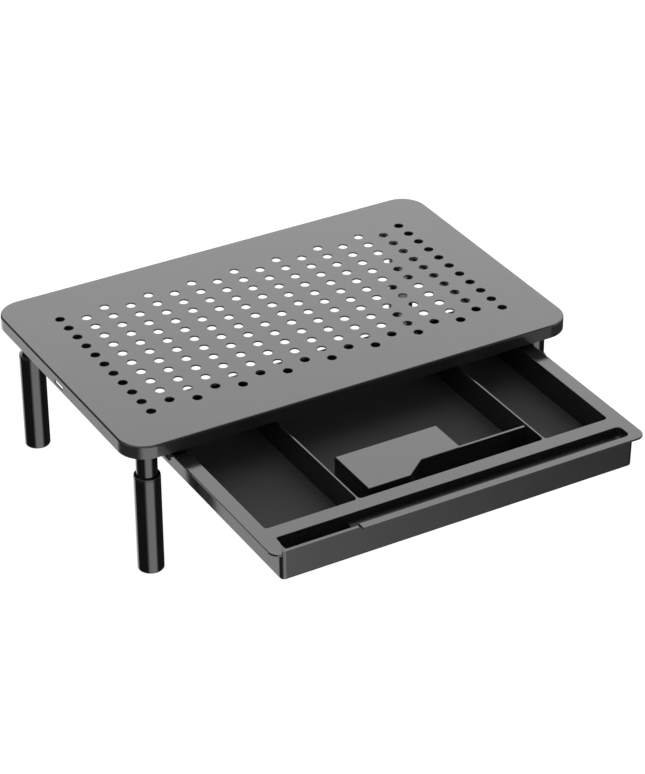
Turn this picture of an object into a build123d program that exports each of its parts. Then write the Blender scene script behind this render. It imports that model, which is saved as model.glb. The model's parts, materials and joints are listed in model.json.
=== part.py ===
from build123d import *
import os

os.makedirs("parts", exist_ok=True)

# Monitor riser stand. Millimetres, +Z up, the drawer opens towards -Y.
# The origin is on the desk, under the middle of the deck.

# ---- driving dimensions: deck ----
deck_width = 370.0
deck_depth = 235.0
deck_height = 116.0
skirt_height = 10.4
sheet = 1.0
corner_radius = 20.5
bend_radius = 1.4
hole_diameter = 7.0
hole_pitch = 15.1
column_pitch = 18.5
hole_edge = 0.3
side_slot_length = 14.0
side_slot_width = 3.0
side_slot_drop = 6.6

# ---- driving dimensions: legs ----
leg_x = 163.5
leg_y = 96.9
post_radius = 7.85
post_wall = 1.2
post_cap = 3.0
post_bottom = 34.0
post_drop = 10.0
post_edge = 0.5
stud_radius = 4.0
stud_length = 7.6
socket_radius = 9.4
socket_edge = 0.8
sleeve_radius = 9.85
sleeve_wall = 1.0
sleeve_drop = 36.7
sleeve_edge = 0.4
running_gap = 0.06
press_gap = 0.02
thread_gap = 0.05
glide_flange = 2.0
glide_plug = 3.5
foot_height = 2.4
foot_round = 1.6
foot_edge = 0.5
plug_height = 8.0
plug_wall = 2.0
collar_flange = 1.4
collar_inset = 0.2
collar_round = 0.7
collar_depth = 9.0
setting_step = 20.0
setting_hole_gap = 0.4
button_height = 44.0
button_radius = 2.5
button_back = 3.75
button_short = 0.3
button_head = 1.2
button_head_rim = 1.1
button_round = 0.7
leaf_thickness = 0.6
leaf_width = 5.6
leaf_low = -3.5
leaf_high = 9.0
leaf_back = -5.3
leaf_gap = 0.2

# ---- driving dimensions: drawer, drawn in its opened place ----
travel = 143.0
rim_half_width = 151.1
rim_thickness = 1.4
rim_drop = 14.3
rim_corner = 8.0
rim_round = 0.5
tray_depth = 220.0
tray_height = 24.7
tray_floor = 2.0
tray_round = 1.2
wall = 2.6
front_overhang = 4.2
draft = 0.3
box_half_width = 143.0
box_corner = 3.5
pocket_half_width = 139.5
pocket_front = -227.6
pocket_corner = 2.5
pocket_round = 1.5
groove_back = -240.6
groove_front = -253.7
groove_right = 140.8
groove_depth = 9.0
groove_corner = 3.5
groove_round = 3.0
phone_slot_left = -138.5
phone_slot_right = -82.0
phone_slot_depth = 14.0
phone_slot_corner = 1.5
phone_slot_round = 1.0
phone_slot_flare = 8.0
notch_back = 2.0
groove_overlap = 8.0
left_divider = -67.0
right_divider = 85.5
divider_thickness = 1.8
shelf_left = -53.5
shelf_right = 30.0
shelf_back = -172.0
shelf_front = -219.0
shelf_drop = 1.2
shelf_round = 0.8
cross_wall = -205.5
jog_start = -20.0
jog_end = -3.0
lug_x = 147.2
lug_width = 3.0
lug_length = 3.8
lug_height = 1.6
lug_inset = 0.3

# ---- driving dimensions: rails ----
rail_inner = 143.8
rail_outer = 153.3
rail_wall = 1.8
rail_half_length = 112.0
rail_lip = 2.0
rail_top_gap = 1.8
flange_inner = 142.2
slide_gap = 0.3
column_length = 8.0
stop_slot_gap = 0.5
screw_x = 147.7
screw_rows = (-90.0, -22.65, 22.65, 90.0)
screw_radius = 1.5
screw_gap = 0.1
screw_end_gap = 0.4
screw_head_radius = 2.75
screw_head_height = 2.0
screw_head_gap = 0.3
screw_head_round = 0.8
screw_grip = 5.0
key_radius = 1.2
nut_radius = 3.1
nut_height = 2.6
nut_gap = 0.2
bumper_length = 6.0
bumper_corner = 1.0
bumper_gap = 0.5

# ---- worked out ----
deck_underside = deck_height - sheet
skirt_bottom = deck_height - skirt_height
post_top = deck_height - post_drop
post_bore = post_radius - post_wall
sleeve_top = deck_height - sleeve_drop
sleeve_bore = sleeve_radius - sleeve_wall
button_tip = sleeve_bore - button_short
drawer_front = -deck_depth / 2 - travel
drawer_back = drawer_front + tray_depth
level = sheet / 10
rim_top = deck_height - rim_drop
rim_underside = rim_top - rim_thickness
tray_bottom = rim_top - tray_height
pocket_floor = tray_bottom + tray_floor
shelf_top = rim_top - shelf_drop
box_front = drawer_front + front_overhang
box_back = drawer_back - wall
guide_bottom = rim_top + slide_gap
guide_top = guide_bottom + rail_wall
ledge_top = rim_underside - slide_gap
rail_bottom = ledge_top - rail_wall
web_bottom = rail_bottom - rail_lip
web_top = deck_underside - rail_top_gap
rail_width = rail_outer - rail_inner
screw_seat = deck_underside - nut_height - screw_grip
lug_front = drawer_back - lug_inset - lug_length
stop_slot_front = lug_front - stop_slot_gap
bumper_x = (rail_inner + rail_outer - rail_wall) / 2
bumper_y = drawer_back + travel + bumper_gap + bumper_length / 2
corners = {
    "front_left": (-leg_x, -leg_y),
    "front_right": (leg_x, -leg_y),
    "rear_left": (-leg_x, leg_y),
    "rear_right": (leg_x, leg_y),
}


# ---- deck: one pressed sheet, perforated, with its edge turned down ----
with BuildPart() as platform_plate:
    with BuildSketch(Plane.XY.offset(skirt_bottom)):
        RectangleRounded(deck_width, deck_depth, corner_radius)
    extrude(amount=skirt_height)
    fillet(platform_plate.faces().sort_by(Axis.Z)[-1].edges(), bend_radius)
    offset(amount=-sheet, openings=platform_plate.faces().sort_by(Axis.Z)[0])
    # full columns of eleven holes, with shorter columns set half a pitch between them
    with BuildSketch(Plane.XY.offset(deck_height)):
        with GridLocations(2 * column_pitch, hole_pitch, 9, 11):
            Circle(hole_diameter / 2)
        with GridLocations(2 * column_pitch, hole_pitch, 8, 10):
            Circle(hole_diameter / 2)
    extrude(amount=-2 * sheet, mode=Mode.SUBTRACT)
    hole_mouths = (
        platform_plate.edges()
        .filter_by(GeomType.CIRCLE)
        .filter_by_position(Axis.Z, deck_height - level, deck_height + level)
        .filter_by(lambda edge: abs(edge.radius - hole_diameter / 2) < hole_edge)
    )
    chamfer(hole_mouths, hole_edge)
    # one oblong slot in the skirt on each side
    with BuildSketch(Plane.YZ):
        with Locations((0, deck_height - side_slot_drop)):
            SlotOverall(side_slot_length, side_slot_width)
    extrude(amount=deck_width, both=True, mode=Mode.SUBTRACT)
platform_plate.part.label = "platform_plate"
export_step(platform_plate.part, "parts/platform_plate.step")


# ---- rails: a channel that the drawer's rim slides in, hung from the deck by screw columns ----
def at_screws(side):
    """Where the screws of one rail stand, as seen from above."""
    return [(side * screw_x, row) for row in screw_rows]


for side, name in ((-1, "rail_left"), (1, "rail_right")):
    middle = side * (rail_inner + rail_outer) / 2
    web = side * (rail_outer - rail_wall / 2)
    with BuildPart() as rail:
        with BuildSketch(Plane.XZ.offset(-rail_half_length)):
            with Locations((web, (web_bottom + web_top) / 2)):
                Rectangle(rail_wall, web_top - web_bottom)
            with Locations(*[(middle, low + rail_wall / 2) for low in (rail_bottom, guide_bottom)]):
                Rectangle(rail_width, rail_wall)
            with Locations((side * (flange_inner + rail_outer) / 2, web_top - rail_wall / 2)):
                Rectangle(rail_outer - flange_inner, rail_wall)
            with Locations((side * (rail_inner + rail_wall / 2), (web_bottom + rail_bottom) / 2)):
                Rectangle(rail_wall, rail_lip)
        extrude(amount=2 * rail_half_length)
        # columns that carry the screws
        with BuildSketch(Plane.XY.offset(guide_top)):
            with Locations(*at_screws(side)):
                Rectangle(2 * (screw_x - rail_inner), column_length)
        extrude(amount=deck_underside - guide_top)
        # the screw's clearance hole, the way in for its head, and the pocket round its nut
        screw_holes = (
            (screw_radius + screw_gap, rail_bottom, deck_underside),
            (screw_head_radius + screw_head_gap, rail_bottom, screw_seat),
            (nut_radius + nut_gap, deck_underside - nut_height - screw_gap, deck_underside),
        )
        for radius, low, high in screw_holes:
            with BuildSketch(Plane.XY.offset(low)):
                with Locations(*at_screws(side)):
                    Circle(radius)
            extrude(amount=high - low, mode=Mode.SUBTRACT)
        # slot in the upper lip that the drawer's stop lug runs in, closed at its front
        with BuildSketch(Plane.XY.offset(guide_bottom)):
            with Locations((side * lug_x, (stop_slot_front + rail_half_length) / 2)):
                Rectangle(lug_width + 2 * stop_slot_gap, rail_half_length - stop_slot_front)
        extrude(amount=rail_wall, mode=Mode.SUBTRACT)
    rail.part.label = name
    export_step(rail.part, f"parts/{name}.step")


# ---- rail screws: pan heads under the columns, shanks up into the weld nuts ----
screw_places = at_screws(-1) + at_screws(1)
with BuildPart() as rail_screws:
    with BuildSketch(Plane.XY.offset(screw_seat - screw_head_height)):
        with Locations(*screw_places):
            Circle(screw_head_radius)
    extrude(amount=screw_head_height)
    fillet(rail_screws.faces().group_by(Axis.Z)[0].edges(), screw_head_round)
    with BuildSketch(Plane.XY.offset(screw_seat)):
        with Locations(*screw_places):
            Circle(screw_radius)
    extrude(amount=deck_underside - screw_seat - screw_end_gap)
    # six-sided key socket
    with BuildSketch(Plane.XY.offset(screw_seat - screw_head_height)):
        with Locations(*screw_places):
            RegularPolygon(key_radius, 6)
    extrude(amount=key_radius, mode=Mode.SUBTRACT)
rail_screws.part.label = "rail_screws"
export_step(rail_screws.part, "parts/rail_screws.step")


# ---- weld nuts: fixed to the deck's underside, one over each screw ----
with BuildPart() as rail_nuts:
    with BuildSketch(Plane.XY.offset(deck_underside - nut_height)):
        with Locations(*screw_places):
            RegularPolygon(nut_radius, 6)
            Circle(screw_radius + thread_gap, mode=Mode.SUBTRACT)
    extrude(amount=nut_height)
rail_nuts.part.label = "rail_nuts"
export_step(rail_nuts.part, "parts/rail_nuts.step")


# ---- bumpers: rubber blocks held in the rail channels, just behind the closed drawer ----
with BuildPart() as drawer_bumpers:
    with BuildSketch(Plane.XY.offset(ledge_top)):
        with Locations((-bumper_x, bumper_y), (bumper_x, bumper_y)):
            RectangleRounded(rail_width - rail_wall - 2 * slide_gap, bumper_length, bumper_corner)
    extrude(amount=guide_bottom - ledge_top)
drawer_bumpers.part.label = "drawer_bumpers"
export_step(drawer_bumpers.part, "parts/drawer_bumpers.step")


# ---- legs: socket, post, glide, button, spring, sleeve, collar and foot at each corner ----
for corner, (x, y) in corners.items():
    with BuildPart() as leg_socket:
        with BuildSketch(Plane((x, y, post_top))):
            Circle(socket_radius)
            Circle(stud_radius + thread_gap, mode=Mode.SUBTRACT)
        extrude(amount=deck_underside - post_top)
        chamfer(leg_socket.edges().group_by(Axis.Z)[0].sort_by(SortBy.RADIUS)[-1], socket_edge)
    leg_socket.part.label = f"leg_socket_{corner}"
    export_step(leg_socket.part, f"parts/leg_socket_{corner}.step")

    with BuildPart() as leg_post:
        with BuildSketch(Plane((x, y, post_bottom))):
            Circle(post_radius)
        extrude(amount=post_top - post_bottom)
        chamfer(leg_post.edges().group_by(Axis.Z)[-1], post_edge)
        with BuildSketch(Plane((x, y, post_bottom))):
            Circle(post_bore)
        extrude(amount=post_top - post_bottom - post_cap, mode=Mode.SUBTRACT)
        with BuildSketch(Plane((x, y, post_top))):
            Circle(stud_radius)
        extrude(amount=stud_length)
        chamfer(leg_post.edges().group_by(Axis.Z)[-1], post_edge)
        # round hole that the button comes out of
        with BuildSketch(Plane(origin=(x, y, button_height), z_dir=(0, 1, 0))):
            Circle(button_radius + running_gap)
        extrude(amount=post_radius, mode=Mode.SUBTRACT)
    leg_post.part.label = f"leg_post_{corner}"
    export_step(leg_post.part, f"parts/leg_post_{corner}.step")

    with BuildPart() as post_glide:
        with BuildSketch(Plane((x, y, post_bottom - glide_flange))):
            Circle(sleeve_bore - running_gap)
        extrude(amount=glide_flange)
        with BuildSketch(Plane((x, y, post_bottom))):
            Circle(post_bore - press_gap)
        extrude(amount=glide_plug)
        with BuildSketch(Plane((x, y, post_bottom - glide_flange))):
            Circle(post_bore - plug_wall)
        extrude(amount=glide_flange + glide_plug, mode=Mode.SUBTRACT)
    post_glide.part.label = f"post_glide_{corner}"
    export_step(post_glide.part, f"parts/post_glide_{corner}.step")

    with BuildPart() as lock_button:
        with BuildSketch(Plane(origin=(x, y + button_back, button_height), z_dir=(0, 1, 0))):
            Circle(button_radius + button_head_rim)
        extrude(amount=button_head)
        with BuildSketch(Plane(origin=(x, y + button_back, button_height), z_dir=(0, 1, 0))):
            Circle(button_radius)
        extrude(amount=button_tip - button_back)
        fillet(lock_button.edges().group_by(Axis.Y)[-1], button_round)
    lock_button.part.label = f"lock_button_{corner}"
    export_step(lock_button.part, f"parts/lock_button_{corner}.step")

    # a strip folded into a hairpin, one arm behind the button and one against the far wall
    leaf_front = button_back - leaf_gap - leaf_thickness / 2
    with BuildPart() as button_spring:
        leaf_side = Plane(origin=(x - leaf_width / 2, y, button_height), x_dir=(0, 1, 0), z_dir=(1, 0, 0))
        with BuildSketch(leaf_side):
            with BuildLine():
                front_arm = Line((leaf_front, leaf_low), (leaf_front, leaf_high))
                fold = RadiusArc(front_arm @ 1, (leaf_back, leaf_high), (leaf_front - leaf_back) / 2)
                Line(fold @ 1, (leaf_back, leaf_low))
                offset(amount=leaf_thickness / 2, side=Side.BOTH)
            make_face()
        extrude(amount=leaf_width)
    button_spring.part.label = f"button_spring_{corner}"
    export_step(button_spring.part, f"parts/button_spring_{corner}.step")

    with BuildPart() as leg_sleeve:
        with BuildSketch(Plane((x, y, foot_height))):
            Circle(sleeve_radius)
        extrude(amount=sleeve_top - foot_height)
        with BuildSketch(Plane((x, y, foot_height))):
            Circle(sleeve_bore)
        extrude(amount=sleeve_top - foot_height, mode=Mode.SUBTRACT)
        # height holes, one for each setting
        with BuildSketch(Plane(origin=(x, y, button_height), z_dir=(0, 1, 0), x_dir=(1, 0, 0))):
            with GridLocations(1, setting_step, 1, 3):
                Circle(button_radius + setting_hole_gap)
        extrude(amount=sleeve_radius, mode=Mode.SUBTRACT)
        fillet(leg_sleeve.edges().group_by(Axis.Z)[-1].sort_by(SortBy.RADIUS)[-1], sleeve_edge)
    leg_sleeve.part.label = f"leg_sleeve_{corner}"
    export_step(leg_sleeve.part, f"parts/leg_sleeve_{corner}.step")

    with BuildPart() as sleeve_collar:
        with BuildSketch(Plane((x, y, sleeve_top))):
            Circle(sleeve_radius - collar_inset)
        extrude(amount=collar_flange)
        fillet(sleeve_collar.edges().group_by(Axis.Z)[-1], collar_round)
        with BuildSketch(Plane((x, y, sleeve_top))):
            Circle(sleeve_bore - press_gap)
        extrude(amount=-collar_depth)
        with BuildSketch(Plane((x, y, sleeve_top - collar_depth))):
            Circle(post_radius + running_gap)
        extrude(amount=collar_depth + collar_flange, mode=Mode.SUBTRACT)
    sleeve_collar.part.label = f"sleeve_collar_{corner}"
    export_step(sleeve_collar.part, f"parts/sleeve_collar_{corner}.step")

    with BuildPart() as foot:
        with BuildSketch(Plane((x, y, 0))):
            Circle(sleeve_radius)
        extrude(amount=foot_height)
        fillet(foot.edges().group_by(Axis.Z)[0], foot_round)
        with BuildSketch(Plane((x, y, foot_height))):
            Circle(sleeve_bore - press_gap)
        extrude(amount=plug_height)
        chamfer(foot.edges().group_by(Axis.Z)[-1], foot_edge)
        with BuildSketch(Plane((x, y, foot_height))):
            Circle(sleeve_bore - plug_wall)
        extrude(amount=plug_height, mode=Mode.SUBTRACT)
    foot.part.label = f"foot_{corner}"
    export_step(foot.part, f"parts/foot_{corner}.step")


# ---- drawer: one moulded tray hanging in the rails by its rim ----
def pocket(left, right, front, back, floor, corner_round, floor_round):
    """A round-cornered hollow, open at the top, ready to be cut out of the tray."""
    middle = ((left + right) / 2, (front + back) / 2, floor)
    with BuildPart() as hollow:
        with BuildSketch(Plane(middle)):
            RectangleRounded(right - left, back - front, corner_round)
        extrude(amount=rim_top - floor)
        fillet(hollow.faces().sort_by(Axis.Z)[0].edges(), floor_round)
    return hollow.part


half_divider = divider_thickness / 2
compartment_sides = (
    (-pocket_half_width, left_divider - half_divider),
    (left_divider + half_divider, right_divider - half_divider),
    (right_divider + half_divider, pocket_half_width),
)
compartments = [
    pocket(left, right, pocket_front, box_back - wall, pocket_floor, pocket_corner, pocket_round)
    for left, right in compartment_sides
]
groove_left = phone_slot_right - groove_overlap
groove_floor = rim_top - groove_depth
pen_groove = pocket(
    groove_left, groove_right, groove_front, groove_back, groove_floor, groove_corner, groove_round
)
slot_floor = rim_top - phone_slot_depth
phone_slot = pocket(
    phone_slot_left, phone_slot_right, groove_front, groove_back, slot_floor, phone_slot_corner, phone_slot_round
)

# outline of the raised shelf: its right part steps back to leave room for a pen in front
shelf_outline = (
    (shelf_left, shelf_back),
    (shelf_left, shelf_front),
    (jog_start, shelf_front),
    (jog_end, cross_wall),
    (shelf_right, cross_wall),
    (shelf_right, shelf_back),
)

with BuildPart() as drawer_tray:
    # box, a little narrower at the bottom than at the top, as a moulding is
    box_middle = (box_front + box_back) / 2
    box_depth = box_back - box_front
    with BuildSketch(Plane((0, box_middle, tray_bottom))):
        RectangleRounded(2 * (box_half_width - draft), box_depth - 2 * draft, box_corner)
    with BuildSketch(Plane((0, box_middle, rim_underside))):
        RectangleRounded(2 * box_half_width, box_depth, box_corner)
    loft()
    fillet(drawer_tray.faces().sort_by(Axis.Z)[0].edges(), tray_round)

    # rim that rides in the rails
    with BuildSketch(Plane((0, (drawer_front + drawer_back) / 2, rim_underside))):
        RectangleRounded(2 * rim_half_width, tray_depth, rim_corner)
    extrude(amount=rim_thickness)

    for hollow in (*compartments, pen_groove, phone_slot):
        add(hollow, mode=Mode.SUBTRACT)

    # the rim is cut away in front of the phone slot, flared at its left end
    beyond_rim = drawer_front - rim_thickness
    notch_start = groove_back - notch_back
    flare_start = notch_start - rim_round
    with BuildSketch(Plane.XY.offset(rim_underside)):
        with BuildLine():
            Line((phone_slot_left, notch_start), (phone_slot_left, flare_start))
            flare = TangentArc(
                (phone_slot_left, flare_start),
                (phone_slot_left - phone_slot_flare, beyond_rim),
                tangent=(0, -1),
            )
            Polyline(
                flare @ 1,
                (phone_slot_right, beyond_rim),
                (phone_slot_right, notch_start),
                (phone_slot_left, notch_start),
            )
        make_face()
    extrude(amount=rim_thickness, mode=Mode.SUBTRACT)

    # raised shelf in the middle compartment, and the low wall that runs on from it
    with BuildSketch(Plane.XY.offset(pocket_floor)):
        with BuildLine():
            Polyline(*shelf_outline, close=True)
        make_face()
    extrude(amount=shelf_top - pocket_floor)
    level_faces = drawer_tray.faces().filter_by(Axis.Z)
    fillet(level_faces.filter_by_position(Axis.Z, shelf_top - level, shelf_top + level).edges(), shelf_round)
    with BuildSketch(Plane.XY.offset(pocket_floor)):
        with Locations(((shelf_right + right_divider) / 2, cross_wall + half_divider)):
            Rectangle(right_divider - shelf_right + divider_thickness, divider_thickness)
    extrude(amount=shelf_top - pocket_floor)

    # the underside is hollow under the shelf, the bar, the groove and the slot
    with BuildSketch(Plane.XY.offset(tray_bottom)):
        with BuildLine():
            Polyline(*shelf_outline, close=True)
        make_face()
        offset(amount=-wall, mode=Mode.REPLACE)
    extrude(amount=shelf_top - wall - tray_bottom, mode=Mode.SUBTRACT)
    under_front = box_front + wall + draft
    under_bar = groove_back + wall
    under_back = pocket_front - wall
    slot_end = phone_slot_right + wall
    hollows_below = (
        (-pocket_half_width, pocket_half_width, under_bar, under_back, rim_underside),
        (-pocket_half_width, slot_end, under_front, under_bar, slot_floor - wall),
        (slot_end, pocket_half_width, under_front, under_bar, groove_floor - wall),
    )
    for left, right, front, back, roof in hollows_below:
        with BuildSketch(Plane(((left + right) / 2, (front + back) / 2, tray_bottom))):
            Rectangle(right - left, back - front)
        extrude(amount=roof - tray_bottom, mode=Mode.SUBTRACT)

    # every edge of the rim's top is softened
    level_faces = drawer_tray.faces().filter_by(Axis.Z)
    fillet(level_faces.filter_by_position(Axis.Z, rim_top - level, rim_top + level).edges(), rim_round)

    # stop lugs on the rim's rear corners
    with BuildSketch(Plane.XY.offset(rim_top)):
        with Locations(*[(side * lug_x, lug_front + lug_length / 2) for side in (-1, 1)]):
            Rectangle(lug_width, lug_length)
    extrude(amount=lug_height)
drawer_tray.part.label = "drawer_tray"
export_step(drawer_tray.part, "parts/drawer_tray.step")
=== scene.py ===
import json
import math

import bpy
from mathutils import Matrix, Vector


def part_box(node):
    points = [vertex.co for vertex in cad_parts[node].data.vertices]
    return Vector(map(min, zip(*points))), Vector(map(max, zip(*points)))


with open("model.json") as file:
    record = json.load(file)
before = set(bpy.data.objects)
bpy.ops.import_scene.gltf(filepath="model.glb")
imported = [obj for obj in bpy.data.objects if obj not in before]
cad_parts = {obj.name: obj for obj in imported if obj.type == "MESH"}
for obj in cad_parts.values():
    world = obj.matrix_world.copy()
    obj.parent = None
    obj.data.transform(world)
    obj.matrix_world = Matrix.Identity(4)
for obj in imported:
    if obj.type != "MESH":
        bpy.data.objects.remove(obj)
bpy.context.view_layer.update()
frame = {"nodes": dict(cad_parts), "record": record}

MM = 0.001
GREY_EDGES = 0.3, 0.7    # where cloudy noise mostly lies
POCKET_FLOOR_Z = 0.084   # below this the drawer's upward faces are dull
RIM_Z = 0.098            # above this they are as glossy as the walls
FLOOR_DULLNESS = 0.70
FLOOR_REACH = 12.0
nodes = frame["nodes"]
deck_low, deck_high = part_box("platform_plate")


# ---- shader building blocks ----
class NodeTree:
    """Short calls that add nodes to a tree and wire them up."""

    def __init__(self, tree):
        self.tree = tree

    def node(self, kind, **values):
        """A new node; names of inputs set the inputs, other names set the node itself."""
        made = self.tree.nodes.new(kind)
        for key, value in values.items():
            if key in made.inputs:
                made.inputs[key].default_value = value
            else:
                setattr(made, key, value)
        return made

    def link(self, source, target):
        self.tree.links.new(source, target)

    def math(self, operation, first, second=0.0):
        """A sum, product or other function of sockets and numbers."""
        made = self.node("ShaderNodeMath", operation=operation)
        for value, socket in zip((first, second), made.inputs):
            if isinstance(value, bpy.types.NodeSocket):
                self.link(value, socket)
            else:
                socket.default_value = value
        return made.outputs["Value"]

    def axis(self, vector, name):
        """One component of a vector."""
        split = self.node("ShaderNodeSeparateXYZ")
        self.link(vector, split.inputs["Vector"])
        return split.outputs[name]

    def ramp(self, factor, low, high, from_low=GREY_EDGES[0], from_high=GREY_EDGES[1], soft=False):
        """A factor brought from one range of values into another."""
        ramp = self.node("ShaderNodeMapRange", interpolation_type="SMOOTHSTEP" if soft else "LINEAR")
        for key, value in zip(("From Min", "From Max", "To Min", "To Max"), (from_low, from_high, low, high)):
            ramp.inputs[key].default_value = value
        self.link(factor, ramp.inputs["Value"])
        return ramp.outputs["Result"]


class Shader(NodeTree):
    """A new material with a Principled shader, patterned in object space."""

    def __init__(self, name, **sockets):
        self.material = bpy.data.materials.new(name)
        self.material.use_nodes = True
        super().__init__(self.material.node_tree)
        self.principled = self.tree.nodes["Principled BSDF"]
        self.coords = self.node("ShaderNodeTexCoord").outputs["Object"]
        for socket, value in sockets.items():
            self.principled.inputs[socket.replace("_", " ")].default_value = value

    def noise(self, scale, detail=3.0, stretch=(1, 1, 1)):
        """Cloudy noise; scale is in features per metre."""
        place = self.node("ShaderNodeMapping")
        place.inputs["Scale"].default_value = stretch
        self.link(self.coords, place.inputs["Vector"])
        noise = self.node("ShaderNodeTexNoise", Scale=scale, Detail=detail, Roughness=0.55)
        self.link(place.outputs["Vector"], noise.inputs["Vector"])
        return noise.outputs["Fac"]

    def cells(self, scale):
        """Distance to the nearest of a scatter of points, for pebbled grain."""
        cells = self.node("ShaderNodeTexVoronoi", Scale=scale)
        self.link(self.coords, cells.inputs["Vector"])
        return cells.outputs["Distance"]

    def blend(self, factor, dark, light):
        """Two colours mixed by a factor."""
        mix = self.node("ShaderNodeMix", data_type="RGBA")
        mix.inputs["A"].default_value = (*dark, 1)
        mix.inputs["B"].default_value = (*light, 1)
        self.link(factor, mix.inputs["Factor"])
        return mix.outputs["Result"]

    def set(self, socket, source):
        self.link(source, self.principled.inputs[socket])

    def bumps(self, *layers):
        """Stacked bump layers, each (height, strength, distance in metres)."""
        normal = None
        for height, strength, distance in layers:
            bump = self.node("ShaderNodeBump", Strength=strength, Distance=distance)
            self.link(height, bump.inputs["Height"])
            if normal:
                self.link(normal, bump.inputs["Normal"])
            normal = bump.outputs["Normal"]
        self.set("Normal", normal)


# ---- materials ----
def powder_coat():
    """Black powder coat: fine pebbled skin over a slow orange peel."""
    coat = Shader("deck_powder_coat", IOR=1.5)
    mottle = coat.noise(35, detail=4)
    coat.set("Base Color", coat.blend(mottle, (0.010, 0.010, 0.0105), (0.016, 0.016, 0.017)))
    coat.set("Roughness", coat.ramp(coat.noise(60, detail=5), 0.15, 0.21))
    coat.bumps((coat.noise(260, detail=2), 0.06, 0.25 * MM), (coat.cells(1500), 0.05, 0.10 * MM))
    return coat.material


def gloss_coat():
    """Gloss black enamel on the drawn tubes, with faint lengthwise draw lines."""
    coat = Shader("leg_gloss_coat", IOR=1.5)
    coat.set("Base Color", coat.blend(coat.noise(90), (0.002, 0.002, 0.0022), (0.004, 0.004, 0.0043)))
    coat.set("Roughness", coat.ramp(coat.noise(400, stretch=(1, 1, 0.04)), 0.08, 0.16))
    coat.bumps((coat.noise(220, detail=2), 0.06, 0.12 * MM))
    return coat.material


def tray_plastic():
    """Black moulded styrene: fine grain, much duller on the compartment floors."""
    moulding = Shader("drawer_plastic", IOR=1.5)
    mottle = moulding.noise(45, detail=4)
    moulding.set("Base Color", moulding.blend(mottle, (0.006, 0.006, 0.0065), (0.011, 0.011, 0.0115)))
    # how far a spot lies down in the drawer, and how much it faces up
    depth = moulding.ramp(moulding.axis(moulding.coords, "Z"), 1, 0, POCKET_FLOOR_Z, RIM_Z)
    normal = moulding.node("ShaderNodeNewGeometry").outputs["Normal"]
    facing_up = moulding.ramp(moulding.axis(normal, "Z"), 0, 1)
    dull = moulding.math("MULTIPLY", moulding.math("MULTIPLY", depth, facing_up), FLOOR_DULLNESS)
    grain = moulding.ramp(moulding.noise(700, detail=4), 0.11, 0.17)
    moulding.set("Roughness", moulding.math("ADD", dull, grain))
    moulding.bumps((moulding.cells(1100), 0.08, 0.12 * MM), (moulding.noise(3000, detail=2), 0.06, 0.05 * MM))
    return moulding.material


def smooth_plastic(name, shade, roughness, specular=0.5):
    """Plain black moulding for rails and collars, with faint flow marks."""
    moulding = Shader(name, IOR=1.5, Specular_IOR_Level=specular)
    lighter = tuple(1.6 * value for value in shade)
    moulding.set("Base Color", moulding.blend(moulding.noise(70), shade, lighter))
    flow = moulding.noise(150, stretch=(1, 0.15, 1))
    moulding.set("Roughness", moulding.ramp(flow, roughness - 0.05, roughness + 0.07))
    moulding.bumps((moulding.noise(900, detail=3), 0.06, 0.06 * MM))
    return moulding.material


def soft_rubber():
    """Matt black rubber with a dusty bloom."""
    rubber = Shader("rubber", IOR=1.45, Specular_IOR_Level=0.35)
    bloom = rubber.noise(130, detail=5)
    rubber.set("Base Color", rubber.blend(bloom, (0.010, 0.010, 0.010), (0.022, 0.021, 0.020)))
    rubber.set("Roughness", rubber.ramp(rubber.noise(200), 0.70, 0.88))
    rubber.bumps((rubber.noise(1600, detail=3), 0.3, 0.08 * MM))
    return rubber.material


def plated_steel(name, shade, tint, roughness):
    """Plated steel with fine random brushing and a slightly uneven tint."""
    steel = Shader(name, Metallic=1.0)
    steel.set("Base Color", steel.blend(steel.noise(220, detail=4), shade, tint))
    brushing = steel.noise(900, detail=4, stretch=(1, 1, 0.2))
    steel.set("Roughness", steel.ramp(brushing, roughness - 0.08, roughness + 0.10))
    steel.bumps((steel.noise(2200, detail=3), 0.15, 0.03 * MM))
    return steel.material


finishes = {
    "deck_powder_coat": powder_coat(),
    "leg_gloss_coat": gloss_coat(),
    "drawer_plastic": tray_plastic(),
    "rail_plastic": smooth_plastic("rail_plastic", (0.003, 0.003, 0.003), 0.45, specular=0.2),
    "collar_plastic": smooth_plastic("collar_plastic", (0.004, 0.004, 0.004), 0.18),
    "rubber": soft_rubber(),
    "zinc_steel": plated_steel("zinc_steel", (0.52, 0.52, 0.50), (0.64, 0.63, 0.60), 0.34),
    "button_nickel": plated_steel("button_nickel", (0.60, 0.58, 0.54), (0.70, 0.68, 0.64), 0.20),
    "spring_steel": plated_steel("spring_steel", (0.35, 0.35, 0.36), (0.50, 0.49, 0.48), 0.30),
}

for part in frame["record"]["subparts"]:
    piece = nodes[part["node"]]
    piece.data.materials.clear()
    piece.data.materials.append(finishes[part["material_slot"]])


# ---- studio: a white floor that glossy rays pass through, in a dark room with soft panels ----
def floor():
    mesh = bpy.data.meshes.new("studio_floor")
    ends = (-FLOOR_REACH, FLOOR_REACH)
    rows = [[(x, y, 0) for x in ends] for y in ends]
    mesh.from_pydata([*rows[0], *reversed(rows[1])], [], [(0, 1, 2, 3)])
    plane = bpy.data.objects.new("studio_floor", mesh)
    bpy.context.scene.collection.objects.link(plane)
    plane.visible_glossy = False
    plane.visible_shadow = False
    paper = Shader("studio_paper", Roughness=0.9, Emission_Strength=0.97)
    paper.principled.inputs["Base Color"].default_value = (0.08, 0.08, 0.08, 1)
    paper.principled.inputs["Emission Color"].default_value = (1, 1, 1, 1)
    mesh.materials.append(paper.material)


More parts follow.
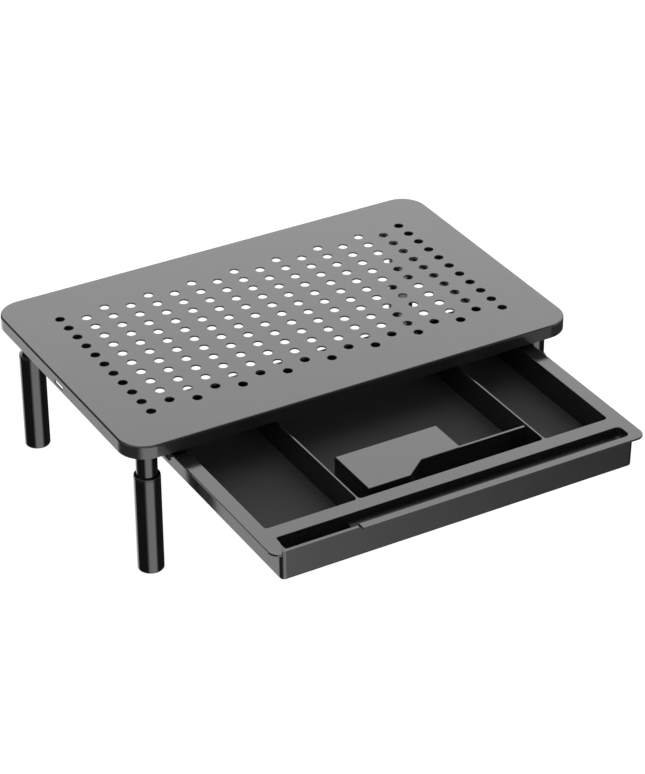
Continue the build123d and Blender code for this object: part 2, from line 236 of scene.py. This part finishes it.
class Surround(NodeTree):
    """The world: a dim room with soft-edged panels; azimuth 0 is in front, 90 at the right."""

    def __init__(self, room):
        self.world = bpy.data.worlds.new("studio_surround")
        self.world.use_nodes = True
        super().__init__(self.world.node_tree)
        self.direction = self.node("ShaderNodeTexCoord").outputs["Generated"]
        self.elevation = self.math("ARCSINE", self.axis(self.direction, "Z"))
        self.light = self.math("ADD", room)
        bpy.context.scene.world = self.world

    def panel(self, azimuth, half_width, low, high, radiance, edge=5):
        turned = self.node("ShaderNodeVectorRotate", rotation_type="Z_AXIS", Angle=math.radians(-azimuth))
        self.link(self.direction, turned.inputs["Vector"])
        towards_front = self.math("MULTIPLY", self.axis(turned.outputs["Vector"], "Y"), -1)
        to_the_right = self.axis(turned.outputs["Vector"], "X")
        off_middle = self.math("ABSOLUTE", self.math("ARCTAN2", to_the_right, towards_front))
        brightness = self.ramp(off_middle, radiance, 0, *self.edges(half_width, edge), soft=True)
        for limit, inside, outside in ((low, 1, 0), (high, 0, 1)):
            fade = self.ramp(self.elevation, outside, inside, *self.edges(limit, edge), soft=True)
            brightness = self.math("MULTIPLY", brightness, fade)
        self.light = self.math("ADD", self.light, brightness)

    @staticmethod
    def edges(limit, edge):
        return math.radians(limit - edge), math.radians(limit + edge)

    def finish(self):
        self.link(self.light, self.tree.nodes["Background"].inputs["Strength"])
        self.tree.nodes["Background"].inputs["Color"].default_value = (1, 1, 1, 1)


floor()
surround = Surround(room=0.035)
# behind the object and high, for the deck's top and the drawer's rim
surround.panel(azimuth=137, half_width=52, low=14, high=70, radiance=2.85, edge=8)
# in front and low, for the stripe on the legs and the drawer's front
surround.panel(azimuth=-6.5, half_width=34, low=-85, high=-8, radiance=3.1, edge=14)
# behind and low, for the left side of the deck and of the drawer
surround.panel(azimuth=180, half_width=34, low=-85, high=-14, radiance=1.35)
# dimmer ones for the other sides; the first two leave a gap where the deck's front bend reflects
surround.panel(azimuth=-57, half_width=73, low=8, high=60, radiance=1.0)
surround.panel(azimuth=54, half_width=17, low=2, high=30, radiance=1.0)
surround.panel(azimuth=85, half_width=105, low=-20, high=5, radiance=0.7, edge=4)
surround.panel(azimuth=0, half_width=190, low=65, high=100, radiance=1.5)
surround.finish()
bpy.context.scene.view_settings.view_transform = "Standard"


# ---- camera: front left, above the deck, with a long lens ----
camera_azimuth = math.radians(-29.95)
camera_elevation = math.radians(31.72)
camera_distance = 1.995
deck_middle = Vector(((deck_low.x + deck_high.x) / 2, (deck_low.y + deck_high.y) / 2, deck_high.z))
look_at = deck_middle + Vector((-0.0332, -0.1389, 0))
towards_camera = Vector((
    math.sin(camera_azimuth) * math.cos(camera_elevation),
    -math.cos(camera_azimuth) * math.cos(camera_elevation),
    math.sin(camera_elevation),
))
camera = bpy.data.cameras.new("camera")
camera.sensor_width = 36.0
camera.lens = 130.76
camera.shift_x, camera.shift_y = -0.0175, 0.0284
camera_holder = bpy.data.objects.new("camera", camera)
camera_holder.location = look_at + towards_camera * camera_distance
tilt = Matrix.Rotation(math.pi / 2 - camera_elevation, 3, "X")
roll = Matrix.Rotation(math.radians(-0.127), 3, "Z")
camera_holder.rotation_euler = (Matrix.Rotation(camera_azimuth, 3, "Z") @ tilt @ roll).to_euler()
bpy.context.scene.collection.objects.link(camera_holder)
bpy.context.scene.camera = camera_holder
